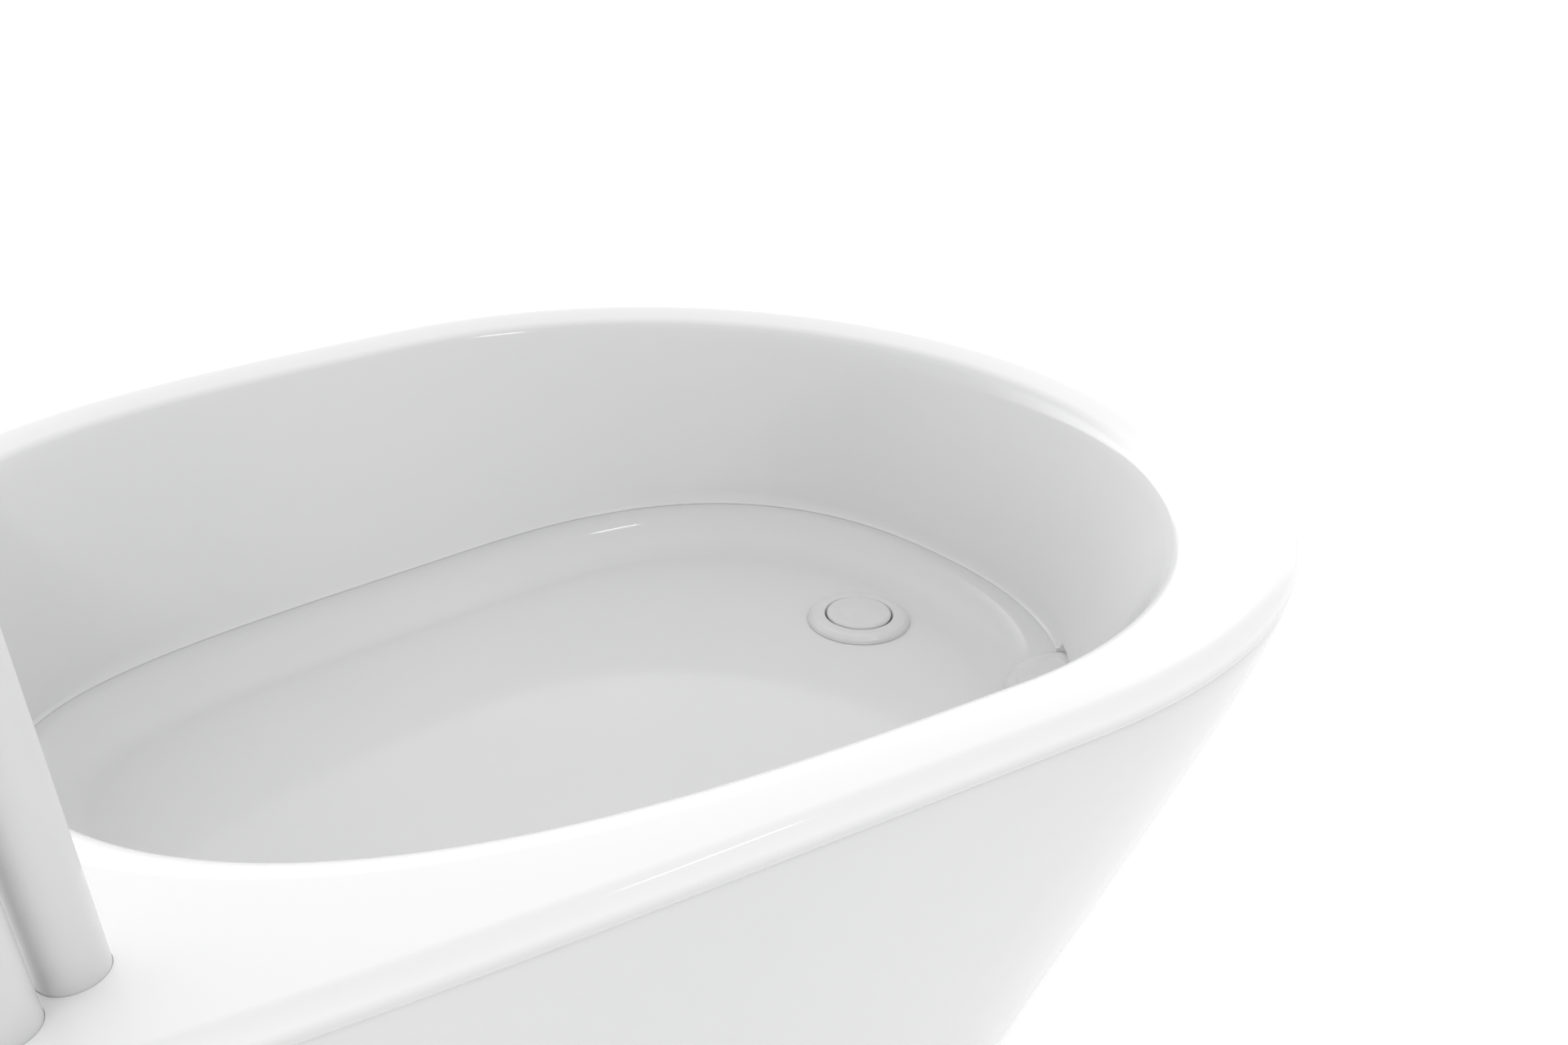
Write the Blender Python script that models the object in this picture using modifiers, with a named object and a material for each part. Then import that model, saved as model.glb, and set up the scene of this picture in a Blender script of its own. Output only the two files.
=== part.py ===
"""Small free-standing pet bathtub with a wide tap-end deck and a twin-post tether rack.

Units are metres, +Z is up, +X points to the round end and the deck is at -X.
The origin is on the ground, under the middle of the tub.
"""
import math

import bmesh
import bpy
from mathutils import Matrix, Vector

# Plan of the tub, measured from the plan centre.
PLAN_X = 0.0855
DECK_Z = 0.480
PLAN_TAPER = 0.42
PLAN_STEPS = 56
OUTER = {"left": 0.494, "right": 0.3230, "half": 0.3000, "n_left": 5.0, "n_right": 2.02}
INNER = {"left": 0.306, "right": 0.2640, "half": 0.2562, "n_left": 3.5, "n_right": 1.93}
LEDGE = {"left": 0.298, "right": 0.2420, "half": 0.1960, "n_left": 5.0, "n_right": 2.3}
FLOOR = {"left": 0.272, "right": 0.2120, "half": 0.1620, "n_left": 5.0, "n_right": 2.3}

# Basin shell.
SHELL = 0.0045
LIP_RADIUS = 0.0085
LIP_TUCK = 0.0020
LIP_DROP = 0.0115
ROLL_RADIUS = 0.021
LEDGE_DROP = 0.126
LEDGE_STEP = 0.0025
FLOOR_DROP = 0.150
FILLET_SAG = 0.0053
FLOOR_Z = DECK_Z - FLOOR_DROP
UNDER_FLOOR_Z = FLOOR_Z - SHELL

# Outer skirt.
SKIRT_SHELL = 0.0040
SKIRT_TOP_DROP = 0.0122
SKIRT_BOTTOM_Z = 0.020
SKIRT_HEIGHTS = (SKIRT_BOTTOM_Z, 0.13, 0.25, 0.35, 0.41, 0.445)
SKIRT_EDGE = 0.004
WALL_SLOPE = 0.30
WALL_EASE = 0.039

# Gap kept between pieces that touch, and around a shank in its hole.
GAP = 0.0003
HOLE_GAP = 2 * GAP
# How far a cutter runs through the wall that it opens.
THROUGH = 0.030

# Posts and tether carriage.
POST_RADIUS = 0.0091
POST_A = Vector((-0.3080, -0.2147))
POST_B = Vector((-0.3262, -0.2248))
POST_BOTTOM_Z = 0.452
POST_TOP_Z = 0.765
POST_HOLE = POST_RADIUS + 0.0004
CLAMP_BLOCK = 0.020
CLAMP_RADIUS = 0.0135
GRUB_RADIUS = 0.0020
GRUB_LENGTH = 0.0060
BRIDGE_RADIUS = POST_RADIUS + 0.0014
BRIDGE_HEIGHT = 0.014
CARRIAGE_Z = 0.684
CARRIAGE_HEIGHT = 0.032
CARRIAGE_RADIUS = 0.0158
KNOB_SCREW = 0.0030
KNOB_RADIUS = 0.0130
KNOB_SHANK = 0.0090
KNOB_LENGTH = 0.0150
KNOB_FLUTES = 6
FLUTE_RADIUS = 0.0036
RING_RADIUS = 0.0125
RING_WIRE = 0.0020
LUG_REACH = 0.0068
LUG_THICK = 0.0036
LUG_HOLE = RING_WIRE + 0.0016

# Waste fitting, on the centre line near the round end.
DRAIN_X = 0.168
FLANGE_RADIUS = 0.0330
TAIL_RADIUS = 0.0218
TAIL_BORE = 0.0185
TAIL_BOTTOM_Z = 0.286
PLUG_RADIUS = 0.0205
SEAL_THICK = 0.0012
FLANGE_THICK = 0.0032
LOWER_SEAL_THICK = 0.0030
LOWER_SEAL_RADIUS = 0.0310
DRAIN_NUT_RADIUS = 0.0335
DRAIN_NUT_THICK = 0.0120
STRAINER_DROP = 0.0072
STRAINER_THICK = 0.0025
STRAINER_HOLES = 6
STRAINER_HOLE = 0.0042
STRAINER_PITCH = 0.0112
STEM_LENGTH = 0.0260
STEM_RADIUS = 0.0040

# Blanking cap on a raised seat in the near corner of the floor.
CAP_PLACE = (0.186, -0.135)
CAP_DROP = 0.1340
CAP_NORMAL = Vector((-0.29, 0.29, 0.91))
CAP_RADIUS = 0.0220
CAP_SHANK = 0.0105
CAP_THICK = 0.0030
CAP_BOSS = 0.0120
CAP_BOSS_RADIUS = CAP_RADIUS + 0.0025
CAP_RECESS = CAP_RADIUS + 0.0008
CAP_TAIL = 0.0075
CAP_NUT_RADIUS = 0.0190
CAP_NUT_THICK = 0.0050

# Bottle trap below the waste.
TRAP_TOP_Z = 0.3035
TRAP_JOINT_Z = 0.262
TRAP_BOTTOM_Z = 0.188
TRAP_RADIUS = 0.0325
TRAP_WALL = 0.0035
OUTLET_Z = 0.272
OUTLET_LENGTH = 0.070
OUTLET_RADIUS = 0.0098
OUTLET_BORE = 0.0078

# Support frame and levelling feet.
TUBE_SIDE = 0.025
TUBE_WALL = 0.002
FRAME_Y = 0.100
FRAME_X = (-0.245, 0.090)
LEG_BOTTOM_Z = 0.045
BOARD_THICK = 0.011
BOARD_WIDTH = 0.272
BOARD_OVERHANG = 0.030
RAIL_OVERHANG = 0.0175
CROSS_BAR_INSET = 0.030
BOARD_Z = UNDER_FLOOR_Z - GAP - BOARD_THICK / 2
RAIL_Z = UNDER_FLOOR_Z - HOLE_GAP - BOARD_THICK - TUBE_SIDE / 2
STUD_RADIUS = 0.0050
STUD_TOP_Z = 0.074
PAD_RADIUS = 0.0220
INSERT_RADIUS = 0.0100
INSERT_LENGTH = 0.0220
LOCK_NUT_RADIUS = 0.0098
LOCK_NUT_THICK = 0.0060


def plan(x, y, z):
    """A place given from the plan centre, in the tub's own frame."""
    return Vector((x + PLAN_X, y, z))


def clear_scene():
    for item in list(bpy.data.objects):
        bpy.data.objects.remove(item, do_unlink=True)


def new_collection(name):
    collection = bpy.data.collections.new(name)
    bpy.context.scene.collection.children.link(collection)
    return collection


def principled(name, colour, roughness, metallic=0.0):
    material = bpy.data.materials.new(name)
    material.use_nodes = True
    shader = material.node_tree.nodes["Principled BSDF"]
    shader.inputs["Base Color"].default_value = (*colour, 1.0)
    shader.inputs["Roughness"].default_value = roughness
    shader.inputs["Metallic"].default_value = metallic
    return material


def move_to(item, collection):
    for holder in list(item.users_collection):
        holder.objects.unlink(item)
    collection.objects.link(item)


def finish(item, name, material, smooth=True):
    """Name a piece, give it its finish and file it with the tub's parts."""
    item.name = name
    item.data.name = name
    item.data.materials.clear()
    item.data.materials.append(material)
    move_to(item, PARTS)
    if smooth:
        item.data.shade_smooth()
        item.data.set_sharp_from_angle(angle=math.radians(35))
    return item


def mesh_object(name, mesh, location=(0, 0, 0)):
    item = bpy.data.objects.new(name, mesh)
    item.location = location
    bpy.context.scene.collection.objects.link(item)
    return item


def facing(axis):
    """Rotation that turns +Z onto the given axis."""
    return Vector((0, 0, 1)).rotation_difference(Vector(axis))


def cylinder(centre, radius, depth, axis=(0, 0, 1), vertices=20):
    bpy.ops.mesh.primitive_cylinder_add(vertices=vertices, radius=radius, depth=depth)
    item = bpy.context.active_object
    item.rotation_mode = "QUATERNION"
    item.rotation_quaternion = facing(axis)
    item.location = centre
    return item


def box(centre, size):
    bpy.ops.mesh.primitive_cube_add(size=1)
    item = bpy.context.active_object
    item.data.transform(Matrix.Diagonal((*size, 1)))
    item.location = centre
    return item


def turned(centre, profile, steps=24, axis=(0, 0, 1)):
    """Turn a profile of (radius, height) points, outer side from top to bottom."""
    mesh = bpy.data.meshes.new("profile")
    shape = bmesh.new()
    points = [shape.verts.new((radius, 0, height)) for radius, height in profile]
    for start, end in zip(points, points[1:]):
        shape.edges.new((start, end))
    on_axis = profile[0][0] == 0 and profile[-1][0] == 0
    if not on_axis:
        shape.edges.new((points[-1], points[0]))
    shape.to_mesh(mesh)
    shape.free()
    item = mesh_object("turned", mesh, centre)
    item.rotation_mode = "QUATERNION"
    item.rotation_quaternion = facing(axis)
    screw = item.modifiers.new("Screw", "SCREW")
    screw.steps = steps
    screw.render_steps = steps
    screw.use_merge_vertices = True
    screw.merge_threshold = 0.0001
    screw.use_smooth_shade = False
    return item


def ring_profile(outer, inner, bottom, top):
    return [(inner, top), (outer, top), (outer, bottom), (inner, bottom)]


def cut(item, cutter, operation="DIFFERENCE"):
    """Cut a piece with another shape, which is kept aside as a cutter."""
    cutter.hide_render = True
    cutter.display_type = "WIRE"
    move_to(cutter, CUTTERS)
    boolean = item.modifiers.new("Boolean", "BOOLEAN")
    boolean.operation = operation
    boolean.solver = "EXACT"
    boolean.object = cutter
    return item


def outline(shape, z, grow=0.0):
    """A rounded plan outline: a superellipse on each side, narrower towards the deck."""
    points = []
    half = shape["half"] + grow
    for step in range(PLAN_STEPS):
        angle = 2 * math.pi * step / PLAN_STEPS
        across = math.cos(angle)
        along = math.sin(angle)
        side = "right" if across >= 0 else "left"
        power = shape["n_" + side]
        reach = shape[side] + grow
        radius = (abs(across / reach) ** power + abs(along / half) ** power) ** (-1 / power)
        x = radius * across
        y = radius * along * (1 + PLAN_TAPER * x)
        points.append(plan(x, y, z))
    return points


def blend(first, second, share):
    return [a.lerp(b, share) for a, b in zip(first, second)]


def loft(rings, closed_end=False):
    """An open surface through rings of points, each face seen from its outer side."""
    mesh = bpy.data.meshes.new("loft")
    shape = bmesh.new()
    loops = [[shape.verts.new(point) for point in ring] for ring in rings]
    count = len(rings[0])
    for lower, upper in zip(loops, loops[1:]):
        for index in range(count):
            after = (index + 1) % count
            shape.faces.new((lower[index], lower[after], upper[after], upper[index]))
    if closed_end:
        shape.faces.new(loops[-1])
    shape.to_mesh(mesh)
    shape.free()
    return mesh_object("loft", mesh)


def thicken(item, thickness):
    solidify = item.modifiers.new("Solidify", "SOLIDIFY")
    solidify.thickness = thickness
    solidify.offset = -1.0
    solidify.use_even_offset = True
    solidify.use_quality_normals = True
    return item


def wall_inset(drop):
    """How far the bulged outer wall has drawn in at a depth below the deck."""
    return WALL_SLOPE * (math.hypot(drop, WALL_EASE) - WALL_EASE)


def basin_rings():
    """The visible face of the basin, from the lip's lower edge to the floor."""
    rings = [outline(OUTER, DECK_Z - LIP_DROP, -LIP_TUCK)]
    for degrees in (0, 30, 60, 90):
        turn = math.radians(degrees)
        grow = LIP_RADIUS * (math.cos(turn) - 1)
        drop = LIP_RADIUS * (1 - math.sin(turn))
        rings.append(outline(OUTER, DECK_Z - drop, grow))
    for degrees in (0, 20, 40, 60):
        turn = math.radians(degrees)
        grow = ROLL_RADIUS * (1 - math.sin(turn))
        drop = ROLL_RADIUS * (1 - math.cos(turn))
        rings.append(outline(INNER, DECK_Z - drop, grow))
    brim = rings[-1]
    ledge = outline(LEDGE, DECK_Z - LEDGE_DROP)
    for share in (0.33, 0.67):
        rings.append(blend(brim, ledge, share))
    rings.append(ledge)
    inner_ledge = outline(LEDGE, DECK_Z - LEDGE_DROP - LEDGE_STEP / 2, -LEDGE_STEP)
    floor_edge = outline(FLOOR, FLOOR_Z)
    rings.append(inner_ledge)
    for share in (0.35, 0.7):
        ring = blend(inner_ledge, floor_edge, share)
        sag = FILLET_SAG * math.sin(math.pi * share)
        rings.append([point - Vector((0, 0, sag)) for point in ring])
    rings.append(floor_edge)
    return rings


def cap_seat():
    """Middle of the raised seat of the blanking cap, and the way that it faces."""
    return plan(*CAP_PLACE, DECK_Z - CAP_DROP), CAP_NORMAL.normalized()


def make_basin():
    item = thicken(loft(basin_rings(), closed_end=True), SHELL)
    cut(item, cylinder(plan(DRAIN_X, 0, FLOOR_Z), TAIL_RADIUS + HOLE_GAP, THROUGH, vertices=32))
    for post in (POST_A, POST_B):
        cut(item, cylinder(plan(*post, DECK_Z), POST_HOLE, THROUGH))
    seat, normal = cap_seat()
    boss = cylinder(seat - normal * CAP_BOSS / 2, CAP_BOSS_RADIUS, CAP_BOSS, normal, 28)
    cut(item, boss, "UNION")
    spot_face = cylinder(seat + normal * THROUGH / 2, CAP_RECESS, THROUGH, normal, 28)
    cut(item, spot_face)
    cut(item, cylinder(seat, CAP_SHANK + HOLE_GAP, 2 * THROUGH, normal))
    return finish(item, "basin", ACRYLIC)


def make_skirt():
    top = DECK_Z - SKIRT_TOP_DROP
    heights = (*SKIRT_HEIGHTS, top - SKIRT_EDGE)
    rings = [outline(OUTER, z, -wall_inset(DECK_Z - z)) for z in heights]
    rings.append(outline(OUTER, top, -LIP_TUCK))
    item = thicken(loft(rings), SKIRT_SHELL)
    return finish(item, "outer_skirt", ACRYLIC)


def stadium(radius, height, centre_z, holes=True):
    """An upright block with round ends around the two posts."""
    middle = (POST_A + POST_B) / 2
    span = (POST_A - POST_B).length
    angle = math.atan2(POST_A.y - POST_B.y, POST_A.x - POST_B.x)
    curve = bpy.data.curves.new("stadium", "CURVE")
    curve.dimensions = "2D"
    curve.fill_mode = "BOTH"
    curve.extrude = height / 2
    steps = 8
    points = []
    for side, start in ((1, -0.5), (-1, 0.5)):
        for step in range(steps + 1):
            turn = math.pi * (start + step / steps)
            x = side * span / 2 + radius * math.cos(turn)
            points.append((x, radius * math.sin(turn)))
    spline = curve.splines.new("POLY")
    spline.points.add(len(points) - 1)
    for target, (x, y) in zip(spline.points, points):
        target.co = (x, y, 0, 1)
    spline.use_cyclic_u = True
    flat = mesh_object("stadium", curve)
    bpy.context.view_layer.update()
    evaluated = flat.evaluated_get(bpy.context.evaluated_depsgraph_get())
    mesh = bpy.data.meshes.new_from_object(evaluated)
    bpy.data.objects.remove(flat, do_unlink=True)
    shape = bmesh.new()
    shape.from_mesh(mesh)
    bmesh.ops.remove_doubles(shape, verts=shape.verts, dist=0.00001)
    bmesh.ops.recalc_face_normals(shape, faces=shape.faces)
    shape.to_mesh(mesh)
    shape.free()
    item = mesh_object("stadium", mesh, plan(*middle, centre_z))
    item.rotation_euler.z = angle
    if holes:
        for post in (POST_A, POST_B):
            cut(item, cylinder(plan(*post, centre_z), POST_HOLE, 2 * height))
    return item


def rack_directions():
    """Outwards along the line of the posts, and square to it on the far side."""
    outwards = (POST_B - POST_A).normalized()
    along = Vector((outwards.x, outwards.y, 0))
    square = Vector((outwards.y, -outwards.x, 0))
    return along, square


def make_posts():
    height = POST_TOP_Z - POST_BOTTOM_Z
    middle_z = (POST_TOP_Z + POST_BOTTOM_Z) / 2
    for name, post in (("post_inner", POST_A), ("post_outer", POST_B)):
        finish(cylinder(plan(*post, middle_z), POST_RADIUS, height), name, POST_PAINT)
    bridge_z = POST_TOP_Z + GAP + BRIDGE_HEIGHT / 2
    bridge = stadium(BRIDGE_RADIUS, BRIDGE_HEIGHT, bridge_z, holes=False)
    finish(bridge, "post_bridge", POST_PAINT)
    make_clamp_block()


def make_clamp_block():
    """The block under the deck that grips both posts, with a grub screw for each."""
    block_z = DECK_Z - SHELL - GAP - CLAMP_BLOCK / 2
    block = stadium(CLAMP_RADIUS, CLAMP_BLOCK, block_z)
    square = rack_directions()[1]
    screws = []
    for name, post in (("grub_screw_inner", POST_A), ("grub_screw_outer", POST_B)):
        centre = plan(*post, block_z)
        start = centre + square * (POST_RADIUS + HOLE_GAP)
        hole = GRUB_RADIUS + GAP
        cut(block, cylinder(start + square * THROUGH / 2, hole, THROUGH, square, 16))
        middle = start + square * (GAP + GRUB_LENGTH / 2)
        screws.append((name, cylinder(middle, GRUB_RADIUS, GRUB_LENGTH, square, 16)))
    finish(block, "post_clamp_block", STEEL)
    for name, screw in screws:
        finish(screw, name, STEEL)


def make_carriage():
    """The tether carriage that slides on the posts, its clamp knob and its ring."""
    along, square = rack_directions()
    middle = (POST_A + POST_B) / 2
    carriage = stadium(CARRIAGE_RADIUS, CARRIAGE_HEIGHT, CARRIAGE_Z)
    screw_start = plan(*POST_B, CARRIAGE_Z) + along * (POST_RADIUS + HOLE_GAP)
    bore = cylinder(screw_start + along * KNOB_SHANK, KNOB_SCREW + HOLE_GAP, 3 * KNOB_SHANK, along)
    cut(carriage, bore)
    eye = plan(*middle, CARRIAGE_Z) + square * (CARRIAGE_RADIUS + LUG_REACH)
    lug = cylinder(eye, LUG_REACH, LUG_THICK, along, 24)
    neck = box((0, 0, 0), (LUG_THICK, 2 * LUG_REACH, 2 * LUG_REACH))
    neck.location = eye - square * LUG_REACH
    neck.rotation_euler.z = math.atan2(along.y, along.x)
    cut(carriage, lug, "UNION")
    cut(carriage, neck, "UNION")
    cut(carriage, cylinder(eye, LUG_HOLE, THROUGH, along))
    finish(carriage, "tether_carriage", POST_PAINT)
    make_knob(screw_start, along)
    make_ring(eye, along)


def make_knob(screw_start, along):
    """A turned knob with its screw, and grip flutes cut round its rim."""
    shank = KNOB_SHANK
    length = KNOB_LENGTH
    profile = [
        (0, shank + length),
        (KNOB_RADIUS - 0.003, shank + length),
        (KNOB_RADIUS, shank + length - 0.003),
        (KNOB_RADIUS, shank + 0.002),
        (KNOB_RADIUS - 0.004, shank),
        (KNOB_SCREW, shank),
        (KNOB_SCREW, 0),
        (0, 0),
    ]
    knob = turned(screw_start, profile, 20, along)
    turn = facing(along)
    for step in range(KNOB_FLUTES):
        angle = 2 * math.pi * step / KNOB_FLUTES
        radius = KNOB_RADIUS + 0.6 * FLUTE_RADIUS
        side = Vector((radius * math.cos(angle), radius * math.sin(angle), shank + length / 2))
        cut(knob, cylinder(screw_start + turn @ side, FLUTE_RADIUS, 2 * length, along, 12))
    finish(knob, "clamp_knob", KNOB_PLASTIC)


def make_ring(eye, along):
    """The tether ring, whose own origin is on the eye that it swings in."""
    bpy.ops.mesh.primitive_torus_add(
        major_radius=RING_RADIUS,
        minor_radius=RING_WIRE,
        major_segments=24,
        minor_segments=8,
    )
    ring = bpy.context.active_object
    square = rack_directions()[1]
    ring.data.transform(facing(square).to_matrix().to_4x4())
    ring.data.transform(Matrix.Translation((0, 0, -RING_RADIUS)))
    ring.location = eye
    finish(ring, "tether_ring", STEEL)


def make_drain():
    """The waste fitting: flange, seals, nut, strainer and lift-up plug."""
    seat = FLOOR_Z + GAP
    centre = plan(DRAIN_X, 0, 0)
    seal_top = seat + SEAL_THICK
    upper_seal = ring_profile(FLANGE_RADIUS - 0.002, TAIL_RADIUS + HOLE_GAP, seat, seal_top)
    finish(turned(centre, upper_seal), "drain_seal_upper", RUBBER)
    base = seal_top + GAP
    top = base + FLANGE_THICK
    flange = [
        (FLANGE_RADIUS - 0.003, top),
        (FLANGE_RADIUS, top - 0.0018),
        (FLANGE_RADIUS, base),
        (TAIL_RADIUS, base),
        (TAIL_RADIUS, TAIL_BOTTOM_Z),
        (TAIL_BORE, TAIL_BOTTOM_Z),
        (TAIL_BORE, base - 0.004),
        (PLUG_RADIUS + 0.0006, top - 0.0026),
        (PLUG_RADIUS + 0.0016, top),
    ]
    finish(turned(centre, flange, 28), "drain_flange", DRAIN_WHITE)
    under = UNDER_FLOOR_Z - GAP
    bottom = under - LOWER_SEAL_THICK
    lower_seal = ring_profile(LOWER_SEAL_RADIUS, TAIL_RADIUS + HOLE_GAP, bottom, under)
    finish(turned(centre, lower_seal), "drain_seal_lower", RUBBER)
    nut_middle = centre + Vector((0, 0, bottom - GAP - DRAIN_NUT_THICK / 2))
    nut = cylinder(nut_middle, DRAIN_NUT_RADIUS, DRAIN_NUT_THICK, vertices=6)
    cut(nut, cylinder(nut_middle, TAIL_RADIUS + HOLE_GAP, THROUGH, vertices=32))
    finish(nut, "drain_nut", DRAIN_WHITE, smooth=False)
    make_strainer(centre, base - STRAINER_DROP)
    make_plug(centre, top)


def make_strainer(centre, z):
    profile = ring_profile(TAIL_BORE - GAP, STEM_RADIUS + HOLE_GAP, z - STRAINER_THICK, z)
    strainer = turned(centre, profile, 24)
    for step in range(STRAINER_HOLES):
        angle = 2 * math.pi * step / STRAINER_HOLES
        side = Vector((STRAINER_PITCH * math.cos(angle), STRAINER_PITCH * math.sin(angle), z))
        cut(strainer, cylinder(centre + side, STRAINER_HOLE, 4 * STRAINER_THICK, vertices=10))
    finish(strainer, "drain_strainer", STEEL)


def make_plug(centre, flange_top):
    """The lift-up plug: a shallow cap on a stem that runs in the strainer's boss."""
    crown = flange_top + 0.0012
    under = flange_top - 0.0022
    profile = [
        (0, crown + 0.0006),
        (PLUG_RADIUS * 0.55, crown + 0.0004),
        (PLUG_RADIUS - 0.0012, crown),
        (PLUG_RADIUS, crown - 0.0010),
        (PLUG_RADIUS, under + 0.0006),
        (TAIL_BORE - 0.0020, under),
        (STEM_RADIUS, under),
        (STEM_RADIUS, under - STEM_LENGTH),
        (0, under - STEM_LENGTH),
    ]
    finish(turned(centre, profile, 24), "drain_plug", DRAIN_WHITE)


def make_trap():
    """A bottle trap: head on the waste's tail, cup below and outlet pipe to the side."""
    centre = plan(DRAIN_X, 0, 0)
    bore = TAIL_RADIUS + HOLE_GAP
    tail = TAIL_BOTTOM_Z - GAP
    head_bore = TRAP_RADIUS - TRAP_WALL - 0.0005
    head = [
        (TRAP_RADIUS - 0.0025, TRAP_TOP_Z),
        (TRAP_RADIUS, TRAP_TOP_Z - 0.003),
        (TRAP_RADIUS, TRAP_JOINT_Z),
        (head_bore, TRAP_JOINT_Z),
        (head_bore, tail),
        (bore, tail),
        (bore, TRAP_TOP_Z),
    ]
    direction = Vector((-1, 0, 0))
    outlet = centre + Vector((-TRAP_RADIUS - HOLE_GAP, 0, OUTLET_Z))
    head_item = turned(centre, head)
    cut(head_item, cylinder(outlet, OUTLET_BORE + 0.0004, THROUGH * 2 / 3, direction))
    finish(head_item, "trap_head", TRAP_PLASTIC)
    top = TRAP_JOINT_Z - GAP
    floor = TRAP_BOTTOM_Z + TRAP_WALL
    cup = [
        (TRAP_RADIUS, top),
        (TRAP_RADIUS, TRAP_BOTTOM_Z + 0.012),
        (TRAP_RADIUS - 0.0085, TRAP_BOTTOM_Z),
        (0, TRAP_BOTTOM_Z),
        (0, floor),
        (TRAP_RADIUS - 0.0100, floor),
        (TRAP_RADIUS - TRAP_WALL, floor + 0.010),
        (TRAP_RADIUS - TRAP_WALL, top),
    ]
    finish(turned(centre, cup), "trap_cup", TRAP_PLASTIC)
    pipe = ring_profile(OUTLET_RADIUS, OUTLET_BORE, 0, OUTLET_LENGTH)
    finish(turned(outlet, pipe, 24, direction), "trap_outlet", TRAP_PLASTIC)


def make_blanking_cap():
    """A round cap over the spare outlet, and the nut that holds it from below."""
    seat, normal = cap_seat()
    top = GAP + CAP_THICK
    end = -CAP_BOSS - CAP_TAIL
    profile = [
        (0, top),
        (CAP_RADIUS - 0.003, top),
        (CAP_RADIUS, top - 0.0014),
        (CAP_RADIUS, GAP),
        (CAP_SHANK, GAP),
        (CAP_SHANK, end),
        (0, end),
    ]
    finish(turned(seat, profile, 24, normal), "blanking_cap", DRAIN_WHITE)
    nut_centre = seat - normal * (CAP_BOSS + GAP + CAP_NUT_THICK / 2)
    nut = cylinder(nut_centre, CAP_NUT_RADIUS, CAP_NUT_THICK, normal, 6)
    cut(nut, cylinder(nut_centre, CAP_SHANK + HOLE_GAP, THROUGH, normal))
    finish(nut, "blanking_nut", TRAP_PLASTIC, smooth=False)


def square_tube(name, centre, length, axis):
    """An open square tube along an axis."""
    mesh = bpy.data.meshes.new(name)
    shape = bmesh.new()
    radius = TUBE_SIDE / math.sqrt(2)
    bmesh.ops.create_cone(
        shape,
        cap_ends=False,
        segments=4,
        radius1=radius,
        radius2=radius,
        depth=length,
        matrix=Matrix.Rotation(math.radians(45), 4, "Z"),
    )
    bmesh.ops.recalc_face_normals(shape, faces=shape.faces)
    shape.to_mesh(mesh)
    shape.free()
    item = mesh_object(name, mesh, centre)
    item.rotation_mode = "QUATERNION"
    item.rotation_quaternion = facing(axis)
    thicken(item, TUBE_WALL)
    return finish(item, name, FRAME_PAINT, smooth=False)


def make_frame():
    """Baseboard under the floor, carried by two rails, two cross bars and four legs."""
    left, right = FRAME_X
    board_centre = plan((left + right) / 2, 0, BOARD_Z)
    board = box(board_centre, (right - left + 2 * BOARD_OVERHANG, BOARD_WIDTH, BOARD_THICK))
    finish(board, "baseboard", PLYWOOD, smooth=False)
    length = right - left + 2 * RAIL_OVERHANG
    for name, side in (("rail_near", -1), ("rail_far", 1)):
        centre = plan((left + right) / 2, side * FRAME_Y, RAIL_Z)
        square_tube(name, centre, length, (1, 0, 0))
    cross = 2 * FRAME_Y - TUBE_SIDE - HOLE_GAP
    square_tube("cross_bar_deck", plan(left, 0, RAIL_Z), cross, (0, 1, 0))
    square_tube("cross_bar_round", plan(right - CROSS_BAR_INSET, 0, RAIL_Z), cross, (0, 1, 0))


def make_legs():
    leg_top = RAIL_Z - TUBE_SIDE / 2 - GAP
    number = 0
    for x in FRAME_X:
        for side in (-1, 1):
            number += 1
            spot = plan(x, side * FRAME_Y, 0)
            middle = spot + Vector((0, 0, (leg_top + LEG_BOTTOM_Z) / 2))
            square_tube(f"leg_{number}", middle, leg_top - LEG_BOTTOM_Z, (0, 0, 1))
            make_foot(number, spot)


def make_foot(number, spot):
    """A levelling foot: insert in the leg, lock nut, turning stud and rubber pad."""
    bore = STUD_RADIUS + HOLE_GAP
    start = LEG_BOTTOM_Z + 0.001
    insert = ring_profile(INSERT_RADIUS, bore, start, start + INSERT_LENGTH)
    finish(turned(spot, insert, 12), f"leg_insert_{number}", TRAP_PLASTIC)
    nut_centre = spot + Vector((0, 0, LEG_BOTTOM_Z - GAP - LOCK_NUT_THICK / 2))
    nut = cylinder(nut_centre, LOCK_NUT_RADIUS, LOCK_NUT_THICK, vertices=6)
    cut(nut, cylinder(nut_centre, bore, THROUGH, vertices=12))
    finish(nut, f"lock_nut_{number}", STEEL, smooth=False)
    stud = [
        (0, STUD_TOP_Z),
        (STUD_RADIUS - 0.0008, STUD_TOP_Z),
        (STUD_RADIUS, STUD_TOP_Z - 0.0010),
        (STUD_RADIUS, 0.0235),
        (0.0085, 0.0225),
        (0.0085, 0.0175),
        (0.0040, 0.0170),
        (0.0040, 0.0130),
        (0.0058, 0.0115),
        (0.0058, 0.0075),
        (0.0040, 0.0064),
        (0, 0.0064),
    ]
    finish(turned(spot, stud, 12), f"foot_stud_{number}", STEEL)
    pad = [
        (0.0110, 0.0160),
        (0.0140, 0.0130),
        (PAD_RADIUS, 0.0090),
        (PAD_RADIUS, 0.0015),
        (PAD_RADIUS - 0.0015, 0),
        (0, 0),
        (0, 0.0060),
        (0.0064, 0.0060),
        (0.0064, 0.0160),
    ]
    finish(turned(spot, pad, 16), f"foot_pad_{number}", RUBBER)


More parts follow.
